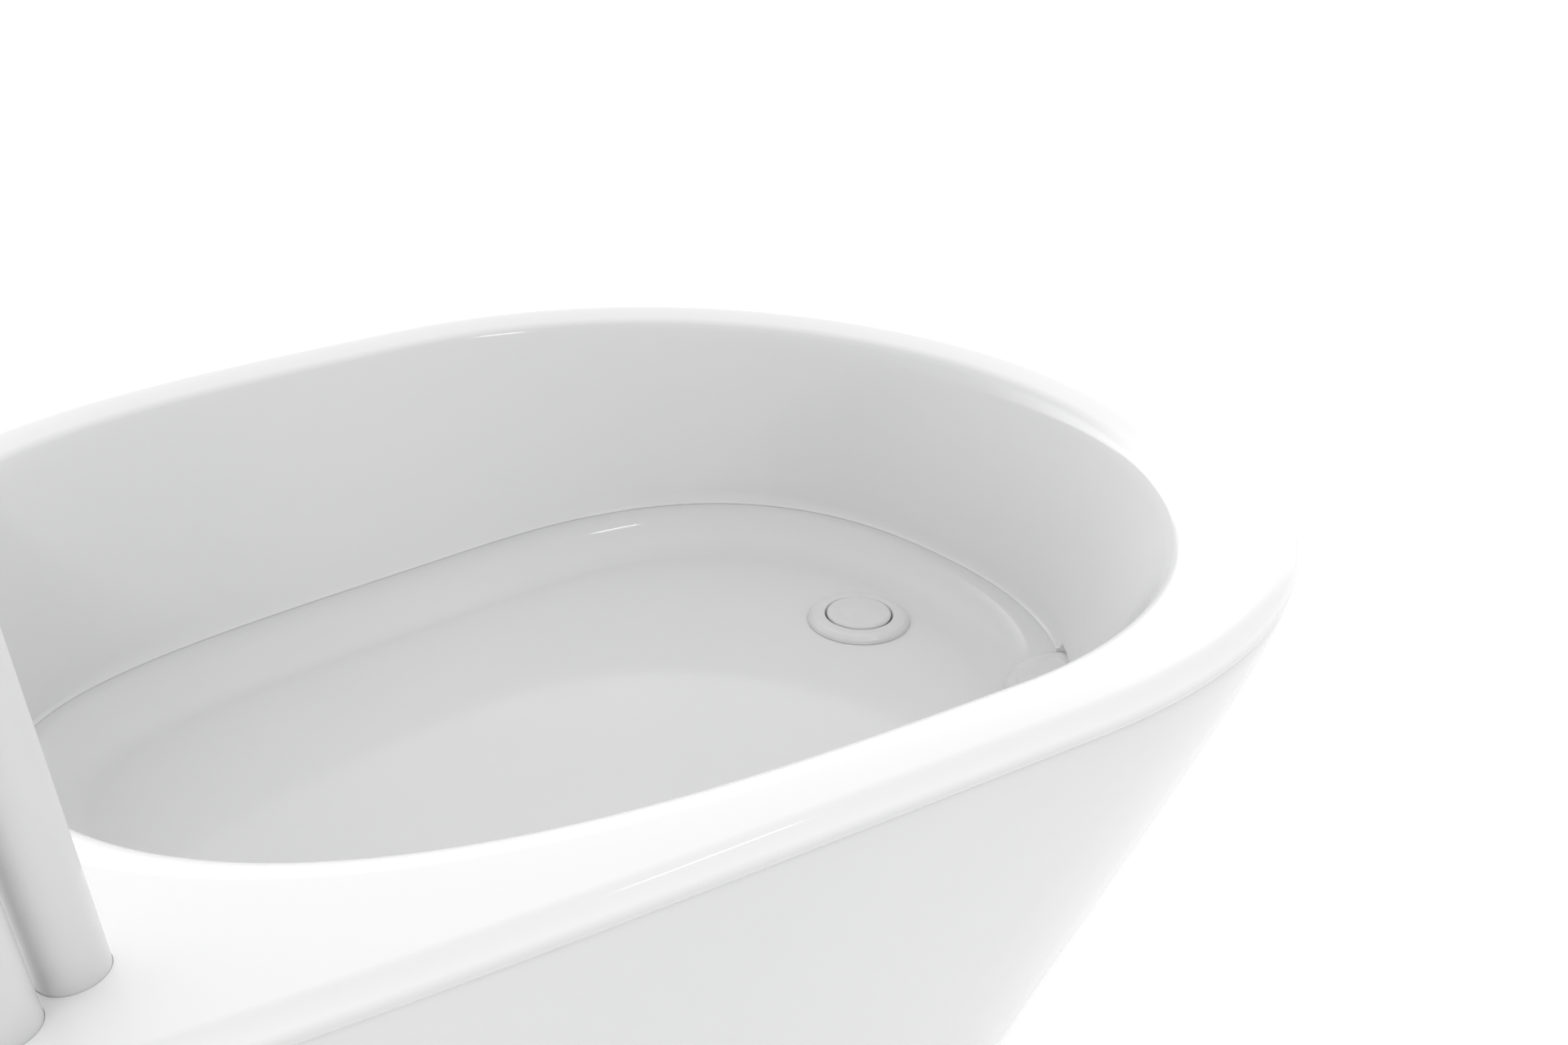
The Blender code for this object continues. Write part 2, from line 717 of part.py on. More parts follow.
clear_scene()
PARTS = new_collection("pet_bathtub")
CUTTERS = new_collection("cutters")
ACRYLIC = principled("white_acrylic", (0.92, 0.92, 0.92), 0.12)
POST_PAINT = principled("white_powder_coat", (0.86, 0.86, 0.86), 0.35)
KNOB_PLASTIC = principled("knob_plastic", (0.80, 0.80, 0.80), 0.45)
DRAIN_WHITE = principled("drain_plastic", (0.90, 0.90, 0.90), 0.25)
TRAP_PLASTIC = principled("trap_plastic", (0.88, 0.88, 0.87), 0.40)
STEEL = principled("stainless_steel", (0.70, 0.70, 0.70), 0.30, 1.0)
FRAME_PAINT = principled("frame_paint", (0.80, 0.80, 0.80), 0.45)
PLYWOOD = principled("baseboard_wood", (0.62, 0.47, 0.30), 0.70)
RUBBER = principled("black_rubber", (0.05, 0.05, 0.05), 0.80)
make_basin()
make_skirt()
make_posts()
make_carriage()
make_drain()
make_trap()
make_blanking_cap()
make_frame()
make_legs()
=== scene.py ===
"""Looks of a small free-standing pet bathtub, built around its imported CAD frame."""

import math

import bmesh
import bpy
from mathutils import Matrix, Vector


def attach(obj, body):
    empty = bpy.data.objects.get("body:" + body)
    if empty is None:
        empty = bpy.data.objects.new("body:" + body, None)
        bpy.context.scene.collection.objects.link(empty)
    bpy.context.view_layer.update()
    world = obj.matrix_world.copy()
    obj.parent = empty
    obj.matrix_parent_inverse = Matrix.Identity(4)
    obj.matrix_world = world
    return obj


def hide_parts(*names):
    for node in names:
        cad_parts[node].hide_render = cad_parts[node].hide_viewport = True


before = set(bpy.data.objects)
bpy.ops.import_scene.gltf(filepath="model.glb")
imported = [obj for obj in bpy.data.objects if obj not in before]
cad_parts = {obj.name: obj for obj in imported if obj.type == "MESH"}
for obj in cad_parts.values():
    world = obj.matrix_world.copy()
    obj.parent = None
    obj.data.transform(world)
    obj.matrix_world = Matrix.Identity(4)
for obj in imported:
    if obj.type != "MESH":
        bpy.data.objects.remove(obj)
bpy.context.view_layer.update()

# Driving sizes, in metres, the same as the CAD's.
PLAN_X = 0.0855
DECK_Z = 0.480
PLAN_TAPER = 0.42
PLAN_STEPS = 288
OUTER = {"left": 0.494, "right": 0.3230, "half": 0.3000, "n_left": 5.0, "n_right": 2.02}
INNER = {"left": 0.306, "right": 0.2640, "half": 0.2562, "n_left": 3.5, "n_right": 1.93}
LEDGE = {"left": 0.298, "right": 0.2420, "half": 0.1960, "n_left": 5.0, "n_right": 2.3}
FLOOR = {"left": 0.272, "right": 0.2120, "half": 0.1620, "n_left": 5.0, "n_right": 2.3}
TRIM = 0.0002
SHELL = 0.0045
LIP_RADIUS = 0.0085
ROLL_RADIUS = 0.021
LEDGE_DROP = 0.126
LEDGE_BEAD = 0.0007
WALL_LEAN = 0.00057
FILLET_ROUND = 0.8
FLOOR_Z = 0.330
UNDER_FLOOR_Z = FLOOR_Z - SHELL
SKIRT_BOTTOM_Z = 0.020
WALL_SLOPE = 0.30
WALL_EASE = 0.039
GAP = 0.0003
POST_RADIUS = 0.0091
POST_A = Vector((-0.3080, -0.2147))
POST_B = Vector((-0.3262, -0.2248))
POST_HOLE = POST_RADIUS + 0.0004
CARRIAGE_Z = 0.684
CARRIAGE_HEIGHT = 0.032
CARRIAGE_RADIUS = 0.0158
KNOB_RADIUS = 0.0130
KNOB_SCREW = 0.0030
RING_RADIUS = 0.0125
RING_WIRE = 0.0020
LUG_REACH = 0.0068
DRAIN_X = 0.168
FLANGE_RADIUS = 0.0330
TAIL_RADIUS = 0.0218
TAIL_BORE = 0.0185
TAIL_BOTTOM_Z = 0.286
PLUG_RADIUS = 0.0205
STEM_RADIUS = 0.0040
CAP_PLACE = (0.186, -0.135)
CAP_DROP = 0.1340
CAP_NORMAL = Vector((-0.29, 0.29, 0.91)).normalized()
CAP_RADIUS = 0.0220
CAP_SHANK = 0.0105
CAP_BOSS = 0.0120
TUBE_SIDE = 0.025
FRAME_Y = 0.100
FRAME_X = (-0.245, 0.090)
LEG_BOTTOM_Z = 0.045
BOARD_THICK = 0.011
RAIL_Z = UNDER_FLOOR_Z - 2 * GAP - BOARD_THICK - TUBE_SIDE / 2
LIP_TUCK = 0.0040
LIP_TURN = 46
ROLL_TURN = 62
POST_BOTTOM_Z = 0.452
POST_TOP_Z = 0.765
STUD_RADIUS = 0.0050

# Grey of the acrylic, a lighter grey painted onto the rim top as painted light (it stands in for
# the brighter light the deck catches), and the heights between which that painted light fades out.
ACRYLIC_GREY = 0.74
RIM_PAINTED_LIGHT_GREY = 0.90
RIM_FADE_LOW = DECK_Z - 0.0085
RIM_FADE_HIGH = DECK_Z - 0.0050
RANGE_SOCKETS = ("From Min", "From Max", "To Min", "To Max")

UP = Vector((0, 0, 1))
ALONG = Vector((*(POST_B - POST_A).normalized(), 0))
SQUARE = Vector((ALONG.y, -ALONG.x, 0))


def plan(x, y, z):
    return Vector((x + PLAN_X, y, z))


def wall_inset(drop):
    return WALL_SLOPE * (math.hypot(drop, WALL_EASE) - WALL_EASE)


def outline(shape, z, grow=0.0):
    """A rounded plan outline: a superellipse on each side, narrower towards the deck."""
    points = []
    half = shape["half"] + grow
    for step in range(PLAN_STEPS):
        angle = 2 * math.pi * step / PLAN_STEPS
        across, along = math.cos(angle), math.sin(angle)
        side = "right" if across >= 0 else "left"
        power = shape["n_" + side]
        reach = shape[side] + grow
        radius = (abs(across / reach) ** power + abs(along / half) ** power) ** (-1 / power)
        x = radius * across
        points.append(plan(x, radius * along * (1 + PLAN_TAPER * x), z))
    return points


def blend(first, second, share):
    return [a.lerp(b, share) for a, b in zip(first, second)]


# ---------------------------------------------------------------- meshes
def new_piece(name, shape, sharp=32):
    bmesh.ops.recalc_face_normals(shape, faces=shape.faces)
    mesh = bpy.data.meshes.new(name)
    shape.to_mesh(mesh)
    shape.free()
    piece = bpy.data.objects.new(name, mesh)
    bpy.context.scene.collection.objects.link(piece)
    mesh.shade_smooth()
    mesh.set_sharp_from_angle(angle=math.radians(sharp))
    return piece


def skin(name, rings, loop=False, caps=True, sharp=32):
    """A surface through rings of points; a ring of one point closes it like a cone's tip."""
    shape = bmesh.new()
    loops = [[shape.verts.new(point) for point in ring] for ring in rings]
    pairs = list(zip(loops, loops[1:]))
    if loop:
        pairs.append((loops[-1], loops[0]))
    for lower, upper in pairs:
        count = max(len(lower), len(upper))
        if count == 1:
            continue
        for index in range(count):
            after = (index + 1) % count
            if len(lower) == 1:
                shape.faces.new((lower[0], upper[after], upper[index]))
            elif len(upper) == 1:
                shape.faces.new((lower[index], lower[after], upper[0]))
            else:
                shape.faces.new((lower[index], lower[after], upper[after], upper[index]))
    if caps and not loop:
        for ring in (loops[0], loops[-1]):
            if len(ring) > 2:
                shape.faces.new(ring)
    return new_piece(name, shape, sharp)


def softened(profile, radius, closed, segments=3):
    """The profile with its corners rounded off, except where it meets the axis."""
    points = [Vector(point) for point in profile]
    result = []
    for index, corner in enumerate(points):
        on_end = not closed and index in (0, len(points) - 1)
        if on_end or corner.x == 0:
            result.append(corner)
            continue
        before, after = points[index - 1], points[(index + 1) % len(points)]
        reach = min(radius, (before - corner).length * 0.45, (after - corner).length * 0.45)
        start = corner + (before - corner).normalized() * reach
        end = corner + (after - corner).normalized() * reach
        for step in range(segments + 1):
            t = step / segments
            result.append(start.lerp(corner, t).lerp(corner.lerp(end, t), t))
    return result


def frame_of(centre, axis):
    turn = UP.rotation_difference(Vector(axis)).to_matrix().to_4x4()
    return Matrix.Translation(centre) @ turn


def turned(name, centre, profile, axis=UP, steps=96, edge=0.0004, radial=None):
    """A lathe shape from (radius, height) points; radial(angle) can scale its outer radius."""
    closed = not (profile[0][0] == 0 and profile[-1][0] == 0)
    place = frame_of(centre, axis)
    rings = []
    for radius, height in softened(profile, edge, closed):
        if radius == 0:
            rings.append([place @ Vector((0, 0, height))])
            continue
        ring = []
        for step in range(steps):
            angle = 2 * math.pi * step / steps
            reach = radius if radial is None else radial(radius, height, angle)
            ring.append(place @ Vector((reach * math.cos(angle), reach * math.sin(angle), height)))
        rings.append(ring)
    return skin(name, rings, loop=closed, caps=False)


def ring_profile(outer, inner, bottom, top):
    return [(inner, top), (outer, top), (outer, bottom), (inner, bottom)]


def threaded(radius, top, bottom, pitch=0.0015, depth=0.0006):
    """Profile points of a threaded length, from top to bottom."""
    points = []
    turns = int((top - bottom) / pitch)
    for turn in range(turns):
        z = top - turn * pitch
        points += [(radius, z), (radius, z - pitch * 0.25)]
        points += [(radius - depth, z - pitch * 0.5), (radius - depth, z - pitch * 0.75)]
    return points


def hexagonal(across_corners, chamfer):
    """Radius rule that turns a round profile into a hexagon with turned-down corners."""
    flat = across_corners * math.cos(math.pi / 6)

    def rule(radius, height, angle):
        if radius < chamfer * 0.8:
            return radius
        wedge = (angle + math.pi / 6) % (math.pi / 3) - math.pi / 6
        return min(radius, flat / math.cos(wedge))

    return rule


def hex_nut(name, centre, radius, bore, thick, axis=UP):
    half = thick / 2
    lean = radius * 0.07
    profile = [
        (bore, half),
        (radius * 0.88, half),
        (radius, half - lean),
        (radius, lean - half),
        (radius * 0.88, -half),
        (bore, -half),
    ]
    return turned(name, centre, profile, axis, 144, 0.0003, hexagonal(radius, radius))


def rounded_square(side, radius, place, height, segments=5):
    points = []
    inner = side / 2 - radius
    for corner in range(4):
        middle = math.pi / 4 + corner * math.pi / 2
        cx = math.copysign(inner, math.cos(middle))
        cy = math.copysign(inner, math.sin(middle))
        for step in range(segments + 1):
            angle = middle - math.pi / 4 + math.pi / 2 * step / segments
            x, y = cx + radius * math.cos(angle), cy + radius * math.sin(angle)
            points.append(place @ Vector((x, y, height)))
    return points


def square_tube(name, centre, length, axis):
    """A rolled square tube, with rounded corners and slightly dressed ends."""
    place = frame_of(centre, axis)
    half = length / 2
    wide, narrow = TUBE_SIDE, TUBE_SIDE - 0.004
    dress = 0.0005
    rings = [
        rounded_square(wide - dress, 0.0035, place, half),
        rounded_square(wide, 0.0035, place, half - dress),
        rounded_square(wide, 0.0035, place, dress - half),
        rounded_square(wide - dress, 0.0035, place, -half),
        rounded_square(narrow, 0.0018, place, -half),
        rounded_square(narrow, 0.0018, place, half),
    ]
    return skin(name, rings, loop=True)


def stadium_ring(radius, z, steps=20):
    middle = plan(*((POST_A + POST_B) / 2), z)
    half_span = (POST_A - POST_B).length / 2
    points = []
    for side in (1, -1):
        for step in range(steps + 1):
            angle = math.pi * (-0.5 + step / steps)
            x = side * (half_span + radius * math.cos(angle))
            y = side * radius * math.sin(angle)
            points.append(middle + ALONG * x + SQUARE * y)
    return points


def stadium_block(name, radius, bottom, top, edge=0.0012):
    rings = []
    for step in range(5):
        angle = math.pi / 2 * step / 4
        reach = radius - edge * (1 - math.sin(angle))
        rings.append(stadium_ring(reach, bottom + edge * (1 - math.cos(angle))))
    for step in range(5):
        angle = math.pi / 2 * (1 - step / 4)
        reach = radius - edge * (1 - math.sin(angle))
        rings.append(stadium_ring(reach, top - edge * (1 - math.cos(angle))))
    return skin(name, rings)


def apply_modifiers(piece):
    graph = bpy.context.evaluated_depsgraph_get()
    mesh = bpy.data.meshes.new_from_object(piece.evaluated_get(graph))
    piece.modifiers.clear()
    piece.data = mesh
    mesh.name = piece.name
    return piece


def boolean(piece, tools, operation="DIFFERENCE"):
    for tool in tools:
        modifier = piece.modifiers.new("Cut", "BOOLEAN")
        modifier.operation = operation
        modifier.solver = "EXACT"
        modifier.object = tool
    apply_modifiers(piece)
    for tool in tools:
        bpy.data.objects.remove(tool, do_unlink=True)
    return piece


def rod(centre, radius, length, axis=UP, steps=64):
    half = length / 2
    profile = [(0, half), (radius, half), (radius, -half), (0, -half)]
    return turned("tool", centre, profile, axis, steps, 0.0)


def reshade(piece, angle=32):
    piece.data.shade_smooth()
    piece.data.set_sharp_from_angle(angle=math.radians(angle))
    return piece


# ---------------------------------------------------------------- materials
class Finish:
    """A Principled material with its grain, wear and bump built from noise."""

    def __init__(self, name, colour, roughness, metallic=0.0):
        self.material = bpy.data.materials.new(name)
        self.material.use_nodes = True
        self.tree = self.material.node_tree
        self.shader = self.tree.nodes["Principled BSDF"]
        self.shader.inputs["Base Color"].default_value = (*colour, 1)
        self.shader.inputs["Roughness"].default_value = roughness
        self.shader.inputs["Metallic"].default_value = metallic
        self.colour = colour
        self.roughness = roughness
        self.coords = self.node("ShaderNodeTexCoord").outputs["Object"]
        self.normal = None
        self.tone = None

    def node(self, kind, **settings):
        item = self.tree.nodes.new(kind)
        for key, value in settings.items():
            if key in item.inputs:
                item.inputs[key].default_value = value
            else:
                setattr(item, key, value)
        return item

    def link(self, output, socket):
        self.tree.links.new(output, socket)

    def stretched(self, scale):
        mapping = self.node("ShaderNodeMapping")
        mapping.inputs["Scale"].default_value = scale
        self.link(self.coords, mapping.inputs["Vector"])
        return mapping.outputs["Vector"]

    def noise(self, scale, detail=3.0, stretch=None):
        item = self.node("ShaderNodeTexNoise", Scale=scale, Detail=detail)
        self.link(self.stretched(stretch) if stretch else self.coords, item.inputs["Vector"])
        return item.outputs["Fac"]

    def ramp(self, value, low, high, start, end):
        item = self.node("ShaderNodeMapRange")
        for key, number in zip(RANGE_SOCKETS, (low, high, start, end)):
            item.inputs[key].default_value = number
        self.link(value, item.inputs["Value"])
        return item.outputs["Result"]

    def tint(self, value, other, low=0.35, high=0.65):
        mix = self.node("ShaderNodeMix", data_type="RGBA")
        colours = [socket for socket in mix.inputs if socket.type == "RGBA"]
        colours[0].default_value = (*self.colour, 1)
        colours[1].default_value = (*other, 1)
        if self.tone is not None:
            self.link(self.tone, colours[0])
        self.tone = mix.outputs[2]
        self.link(self.ramp(value, low, high, 0, 1), mix.inputs[0])
        self.link(mix.outputs[2], self.shader.inputs["Base Color"])
        return self

    def worn(self, value, spread):
        rough = self.ramp(value, 0.3, 0.7, self.roughness - spread, self.roughness + spread)
        self.link(rough, self.shader.inputs["Roughness"])
        return self

    def bump(self, value, distance, strength=1.0):
        item = self.node("ShaderNodeBump", Distance=distance, Strength=strength)
        self.link(value, item.inputs["Height"])
        if self.normal is not None:
            self.link(self.normal, item.inputs["Normal"])
        self.normal = item.outputs["Normal"]
        self.link(self.normal, self.shader.inputs["Normal"])
        return self


def grey(value):
    return (value, value, value)


def make_acrylic():
    """Polished white acrylic, with painted light on the rim top (a lighter base colour standing in
    for the light it catches): slight waviness, fine wipe marks.
    """
    finish = Finish("white_acrylic", grey(ACRYLIC_GREY), 0.11)
    finish.shader.inputs["IOR"].default_value = 1.50
    finish.shader.inputs["Coat Weight"].default_value = 0.35
    finish.shader.inputs["Coat Roughness"].default_value = 0.04
    finish.tint(finish.noise(5.0), (0.725, 0.727, 0.73))
    # Painted light: above RIM_FADE_HIGH the base colour turns to a lighter grey, standing in for
    # the brighter light the rim top catches.
    split = finish.node("ShaderNodeSeparateXYZ")
    finish.link(finish.coords, split.inputs["Vector"])
    finish.tint(split.outputs["Z"], grey(RIM_PAINTED_LIGHT_GREY), RIM_FADE_LOW, RIM_FADE_HIGH)
    finish.worn(finish.noise(38.0, 5.0), 0.03)
    finish.bump(finish.noise(9.0, 2.0), 0.0016, 0.35)
    finish.bump(finish.noise(420.0, 4.0), 0.00002, 0.25)
    return finish.material


def make_powder_coat():
    finish = Finish("white_powder_coat", grey(0.70), 0.34)
    finish.shader.inputs["Coat Weight"].default_value = 0.15
    finish.tint(finish.noise(24.0), (0.68, 0.68, 0.685))
    finish.worn(finish.noise(120.0, 4.0), 0.05)
    finish.bump(finish.noise(1500.0, 2.0), 0.00004, 0.6)
    return finish.material


def make_plastic(name, colour, roughness, grain):
    finish = Finish(name, colour, roughness)
    darker = tuple(channel * 0.965 for channel in colour)
    finish.tint(finish.noise(60.0), darker)
    finish.worn(finish.noise(200.0, 4.0), roughness * 0.2)
    finish.bump(finish.noise(grain, 3.0), 0.00003, 0.5)
    return finish.material


def make_steel():
    finish = Finish("stainless_steel", grey(0.62), 0.28, 1.0)
    brushed = finish.noise(900.0, 3.0, (1.0, 1.0, 0.04))
    finish.tint(finish.noise(80.0), (0.56, 0.565, 0.57))
    finish.worn(brushed, 0.09)
    finish.bump(brushed, 0.00002, 0.5)
    return finish.material


def make_frame_paint():
    finish = Finish("frame_paint", grey(0.66), 0.42)
    finish.tint(finish.noise(14.0), (0.63, 0.635, 0.64))
    finish.worn(finish.noise(90.0, 4.0), 0.07)
    finish.bump(finish.noise(700.0, 3.0), 0.00005, 0.5)
    return finish.material


def make_plywood():
    """Birch plywood: long grain on the faces and thin plies on the edges."""
    finish = Finish("baseboard_wood", (0.66, 0.50, 0.33), 0.62)
    grain = finish.noise(26.0, 6.0, (1.0, 11.0, 1.0))
    mix = finish.tint(grain, (0.50, 0.35, 0.20), 0.40, 0.72)
    plies = finish.node("ShaderNodeTexWave", Scale=150.0, Distortion=0.6, bands_direction="Z")
    finish.link(finish.coords, plies.inputs["Vector"])
    mix.bump(grain, 0.0002, 0.5)
    mix.bump(plies.outputs["Fac"], 0.00012, 0.4)
    mix.worn(grain, 0.08)
    return finish.material


def make_rubber():
    finish = Finish("black_rubber", grey(0.028), 0.72)
    finish.tint(finish.noise(110.0), (0.045, 0.045, 0.046))
    finish.worn(finish.noise(300.0, 3.0), 0.08)
    finish.bump(finish.noise(1200.0, 4.0), 0.00008, 0.6)
    return finish.material


MATERIALS = {
    "white_acrylic": make_acrylic(),
    "white_powder_coat": make_powder_coat(),
    "knob_plastic": make_plastic("knob_plastic", grey(0.70), 0.46, 1600.0),
    "drain_plastic": make_plastic("drain_plastic", grey(0.72), 0.20, 500.0),
    "trap_plastic": make_plastic("trap_plastic", (0.76, 0.76, 0.75), 0.38, 900.0),
    "stainless_steel": make_steel(),
    "frame_paint": make_frame_paint(),
    "baseboard_wood": make_plywood(),
    "black_rubber": make_rubber(),
}


def file_piece(piece, slot, body="tub", *nodes):
    """Give a piece its finish and let it ride in place of its CAD nodes."""
    piece.data.materials.clear()
    piece.data.materials.append(MATERIALS[slot])
    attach(piece, body)
    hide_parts(*(nodes or (piece.name.replace("_look", ""),)))
    return piece


# ---------------------------------------------------------------- the tub
def arc(start, end, steps):
    return [math.radians(start + (end - start) * step / steps) for step in range(steps + 1)]


def basin_rings():
    """The visible face of the basin, from the lip's lower edge to the floor."""
    rings = []
    for angle in arc(-LIP_TURN, -6, 6):
        drop = LIP_RADIUS - LIP_TUCK * math.sin(angle)
        rings.append(outline(OUTER, DECK_Z - drop, LIP_TUCK * (math.cos(angle) - 1) - TRIM))
    for angle in arc(0, 90, 14):
        drop = LIP_RADIUS * (1 - math.sin(angle))
        rings.append(outline(OUTER, DECK_Z - drop, LIP_RADIUS * (math.cos(angle) - 1) - TRIM))
    for angle in arc(0, ROLL_TURN, 14):
        drop = ROLL_RADIUS * (1 - math.cos(angle))
        rings.append(outline(INNER, DECK_Z - drop, ROLL_RADIUS * (1 - math.sin(angle))))
    brim = rings[-1]
    ledge = outline(LEDGE, DECK_Z - LEDGE_DROP)
    for step in range(1, 15):
        rings.append(blend(brim, ledge, step / 14))
    rings.pop()
    for height in (1.5, 1.1, 0.7, 0.35, 0.0, -0.35, -0.7, -1.1):
        lean = max(height, 0) * WALL_LEAN
        swell = LEDGE_BEAD * max(0.0, math.cos(math.pi / 3 * height)) ** 2
        rings.append(outline(LEDGE, DECK_Z - LEDGE_DROP + height * 0.001, lean - swell))
    return rings + fillet(rings[-1], outline(FLOOR, FLOOR_Z), 14)


def fillet(start, end, steps):
    """Rings round the hollow corner between a wall's foot and a floor's edge."""
    rings = []
    for angle in arc(6, 90, steps):
        even = angle / math.pi * 2
        inward = FILLET_ROUND * (1 - math.cos(angle)) + (1 - FILLET_ROUND) * even
        down = FILLET_ROUND * math.sin(angle) + (1 - FILLET_ROUND) * even
        height = start[0].z + (end[0].z - start[0].z) * down
        rings.append([Vector((point.x, point.y, height)) for point in blend(start, end, inward)])
    return rings


def under_rings():
    """The hidden back of the basin, from the lip's inner edge to the floor's underside."""
    lip, roll = LIP_RADIUS - SHELL, ROLL_RADIUS - SHELL
    rings = [outline(OUTER, DECK_Z - 0.0113, -0.0032)]
    for angle in arc(0, 90, 6):
        drop = LIP_RADIUS - lip * math.sin(angle)
        rings.append(outline(OUTER, DECK_Z - drop, lip * math.cos(angle) - LIP_RADIUS - TRIM))
    for angle in arc(0, ROLL_TURN, 6):
        drop = ROLL_RADIUS - roll * math.cos(angle)
        rings.append(outline(INNER, DECK_Z - drop, ROLL_RADIUS - roll * math.sin(angle)))
    brim = rings[-1]
    ledge = outline(LEDGE, DECK_Z - LEDGE_DROP, SHELL)
    for step in range(1, 6):
        rings.append(blend(brim, ledge, step / 5))
    return rings + fillet(rings[-1], outline(FLOOR, UNDER_FLOOR_Z, SHELL * 0.3), 8)


def make_basin():
    """The moulded shell, with its holes and the raised seat of the blanking cap."""
    front, back = basin_rings(), under_rings()
    for rings in (front, back):
        centre = plan(-0.02, 0, rings[-1][0].z)
        for share in (0.02, 0.06, 0.2, 0.5):
            rings.append([point.lerp(centre, share) for point in rings[-1]])
    basin = skin("basin_shell", front[::-1] + back, sharp=40)
    seat = plan(*CAP_PLACE, DECK_Z - CAP_DROP)
    low, high = -CAP_BOSS, 0.0
    boss_profile = [(0, high), (CAP_RADIUS + 0.0015, high), (CAP_RADIUS + 0.0035, low), (0, low)]
    boss = turned("tool", seat, boss_profile, CAP_NORMAL, 96, 0.001)
    boolean(basin, [boss], "UNION")
    drain = plan(DRAIN_X, 0, FLOOR_Z)
    tools = [rod(drain, TAIL_RADIUS + 2 * GAP, 0.03)]
    tools += [rod(plan(*post, DECK_Z), POST_RADIUS + 0.0001, 0.03) for post in (POST_A, POST_B)]
    tools.append(rod(seat + CAP_NORMAL * 0.0040, CAP_RADIUS + GAP, 0.008, CAP_NORMAL))
    tools.append(rod(seat, CAP_SHANK + 2 * GAP, 0.06, CAP_NORMAL))
    boolean(basin, tools)
    file_piece(reshade(basin, 40), "white_acrylic", "tub", "basin")


def make_skirt():
    """The tapered outer skirt, whose rolled top edge tucks in behind the lip."""
    rings = []
    rings.append(outline(OUTER, DECK_Z - 0.0102, -0.0030))
    for drop, inset in ((0.0110, 0.0019), (0.0116, 0.0015), (0.0124, 0.0012), (0.0140, 0.0010)):
        rings.append(outline(OUTER, DECK_Z - drop, -inset - TRIM / 2))
    drop = 0.0165
    while DECK_Z - drop > SKIRT_BOTTOM_Z + 0.004:
        rings.append(outline(OUTER, DECK_Z - drop, -wall_inset(drop) - TRIM / 2))
        drop *= 1.12
    foot = wall_inset(DECK_Z - SKIRT_BOTTOM_Z)
    for angle in arc(0, 90, 4):
        lift = 0.002 * (1 - math.sin(angle))
        rings.append(outline(OUTER, SKIRT_BOTTOM_Z + lift, -foot - 0.002 * (1 - math.cos(angle))))
    inner = wall_inset(DECK_Z - SKIRT_BOTTOM_Z) + 0.0040
    rings.append(outline(OUTER, SKIRT_BOTTOM_Z + 0.0004, -inner))
    for z in (0.10, 0.20, 0.30, 0.38, 0.43, 0.455):
        rings.append(outline(OUTER, z, -wall_inset(DECK_Z - z) - 0.0040))
    rings.append(outline(OUTER, DECK_Z - 0.0116, -0.0055))
    skirt = skin("skirt_shell", rings, loop=True, sharp=40)
    file_piece(skirt, "white_acrylic", "tub", "outer_skirt")


def make_rack():
    """Posts, their bridge and clamp block, the carriage with knob, and the tether ring."""
    for name, post in (("post_inner", POST_A), ("post_outer", POST_B)):
        profile = ring_profile(POST_RADIUS, POST_RADIUS - 0.0015, POST_BOTTOM_Z, POST_TOP_Z)
        tube = turned(name + "_look", plan(*post, 0), profile, steps=96, edge=0.0005)
        file_piece(tube, "white_powder_coat", "tub", name)
    low = POST_TOP_Z + GAP
    bridge = stadium_block("post_bridge_look", POST_RADIUS + 0.0014, low, low + 0.014, 0.003)
    file_piece(bridge, "white_powder_coat", "tub", "post_bridge")
    block_top = DECK_Z - SHELL - GAP
    block = stadium_block("clamp_block_look", 0.0135, block_top - 0.020, block_top)
    grubs = [plan(*post, block_top - 0.010) for post in (POST_A, POST_B)]
    tools = [rod(plan(*post, DECK_Z - 0.015), POST_HOLE, 0.06) for post in (POST_A, POST_B)]
    tools += [rod(grub + SQUARE * 0.020, 0.0023, 0.020, SQUARE, 32) for grub in grubs]
    file_piece(reshade(boolean(block, tools)), "stainless_steel", "tub", "post_clamp_block")
    for name, grub in zip(("grub_screw_inner", "grub_screw_outer"), grubs):
        start = POST_RADIUS + 3 * GAP
        profile = [(0, start + 0.004), (0.0011, start + 0.004), (0.0011, start + 0.006)]
        profile += threaded(0.0020, start + 0.0059, start + 0.0009, 0.0008, 0.0003)
        profile += [(0.0012, start), (0, start)]
        screw = turned(name + "_look", grub, profile, SQUARE, 48, 0.0001)
        file_piece(screw, "stainless_steel", "tub", name)
    make_carriage()


